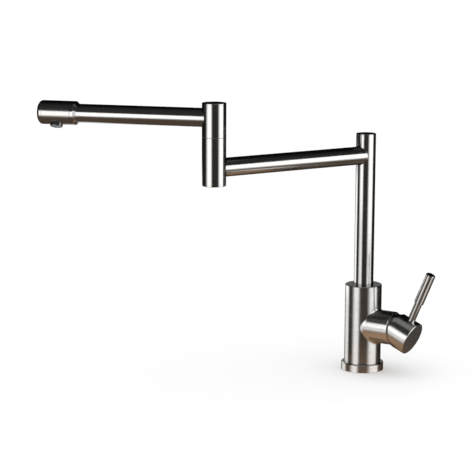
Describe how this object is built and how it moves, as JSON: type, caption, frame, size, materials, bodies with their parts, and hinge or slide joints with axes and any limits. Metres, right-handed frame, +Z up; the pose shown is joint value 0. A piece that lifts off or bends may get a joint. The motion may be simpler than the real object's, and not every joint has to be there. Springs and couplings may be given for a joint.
{
  "type": "kitchen tap",
  "caption": "Deck-mounted kitchen mixer tap in brushed steel: round body on a flange, tilting side handle, slim riser and a folding swing spout with a swivel outlet head.",
  "frame": {"origin": "centre of the underside of the base, on the deck", "axes": "+Z up along the riser, +X along the valve housing towards the handle"},
  "size_m": [0.3882, 0.3052, 0.3419],
  "materials": {
    "satin_steel": "stainless steel brushed round the axis, soft sheen",
    "brushed_steel": "stainless steel brushed finely, close to polished",
    "bright_chrome": "bright chrome plating",
    "brass": "turned brass",
    "plain_steel": "turned stainless steel",
    "seal_rubber": "black sealing rubber",
    "bearing_plastic": "white slippery bearing plastic",
    "valve_plastic": "grey moulded plastic",
    "valve_ceramic": "lapped white ceramic"
  },
  "bodies": {
    "root": {"base_flange": "satin_steel", "base_gasket": "seal_rubber", "flange_o_ring": "seal_rubber", "mixer_block": "brass", "block_seals": "seal_rubber", "body_shell": "satin_steel", "port_seals": "seal_rubber", "cartridge_base": "valve_plastic", "disc_seals": "seal_rubber", "fixed_disc": "valve_ceramic", "cartridge_sleeve": "valve_plastic", "bonnet_nut": "brass", "dome_cover": "satin_steel", "riser_bush_lower": "bearing_plastic", "riser_bush_upper": "bearing_plastic", "riser_o_rings": "seal_rubber", "riser_spacer": "bearing_plastic", "body_top_ring": "satin_steel"},
    "riser": {"riser_tube": "brushed_steel", "riser_top_cap": "brushed_steel", "riser_collar": "brass", "lower_arm_tube": "brushed_steel", "knuckle_lower_barrel": "brushed_steel", "knuckle_bottom_cap": "brushed_steel", "knuckle_bush_lower": "bearing_plastic", "knuckle_bush_upper": "bearing_plastic", "knuckle_o_rings": "seal_rubber", "knuckle_spacer": "bearing_plastic", "knuckle_thrust_washer": "bearing_plastic"},
    "upper_arm": {"knuckle_upper_barrel": "brushed_steel", "knuckle_top_cap": "brushed_steel", "pivot_spindle": "brass", "knuckle_circlip": "plain_steel", "upper_arm_tube": "brushed_steel", "arm_collar": "brushed_steel", "head_circlip": "plain_steel"},
    "spout_head": {"head_shell": "brushed_steel", "head_end_cap": "brushed_steel", "head_bush_front": "bearing_plastic", "head_bush_rear": "bearing_plastic", "head_o_ring": "seal_rubber", "outlet_collar": "bright_chrome", "aerator_gasket": "seal_rubber", "aerator_screen": "plain_steel", "aerator_cage": "valve_plastic"},
    "carrier": {"carrier": "valve_plastic", "pivot_pin": "plain_steel"},
    "handle": {"stem": "plain_steel", "handle_cap": "satin_steel", "handle_grub_screw": "plain_steel", "screw_plug": "valve_plastic", "lever_rod": "brushed_steel", "lever_grip": "brushed_steel"},
    "disc": {"moving_disc": "valve_ceramic", "disc_driver": "valve_plastic"}
  },
  "joints": [
    {"name": "riser_swivel", "type": "hinge", "parent": "root", "child": "riser", "pos_m": [0, 0, 0.107], "axis": [0, 0, 1], "continuous": true},
    {"name": "elbow_swivel", "type": "hinge", "parent": "riser", "child": "upper_arm", "pos_m": [-0.08637, -0.20103, 0.3024], "axis": [0, 0, 1], "continuous": true},
    {"name": "outlet_swivel", "type": "hinge", "parent": "upper_arm", "child": "spout_head", "pos_m": [-0.26663, -0.26012, 0.3246], "axis": [-0.9502, -0.3115, 0], "range_deg": [-110, 70]},
    {"name": "temperature_turn", "type": "hinge", "parent": "root", "child": "carrier", "pos_m": [0.0456, 0, 0.0566], "axis": [1, 0, 0], "range_deg": [-45, 45]},
    {"name": "handle_lift", "type": "hinge", "parent": "carrier", "child": "handle", "pos_m": [0.0456, 0, 0.0566], "axis": [0, 1, 0], "range_deg": [-23, 0]},
    {"name": "disc_slide", "type": "slide", "parent": "carrier", "child": "disc", "axis": [0, 0, 1], "range_m": [-0.00432, 0]}
  ],
  "couplings": [
    {"joint": "disc_slide", "follows": "handle_lift", "m_per_rad": 0.010707}
  ]
}
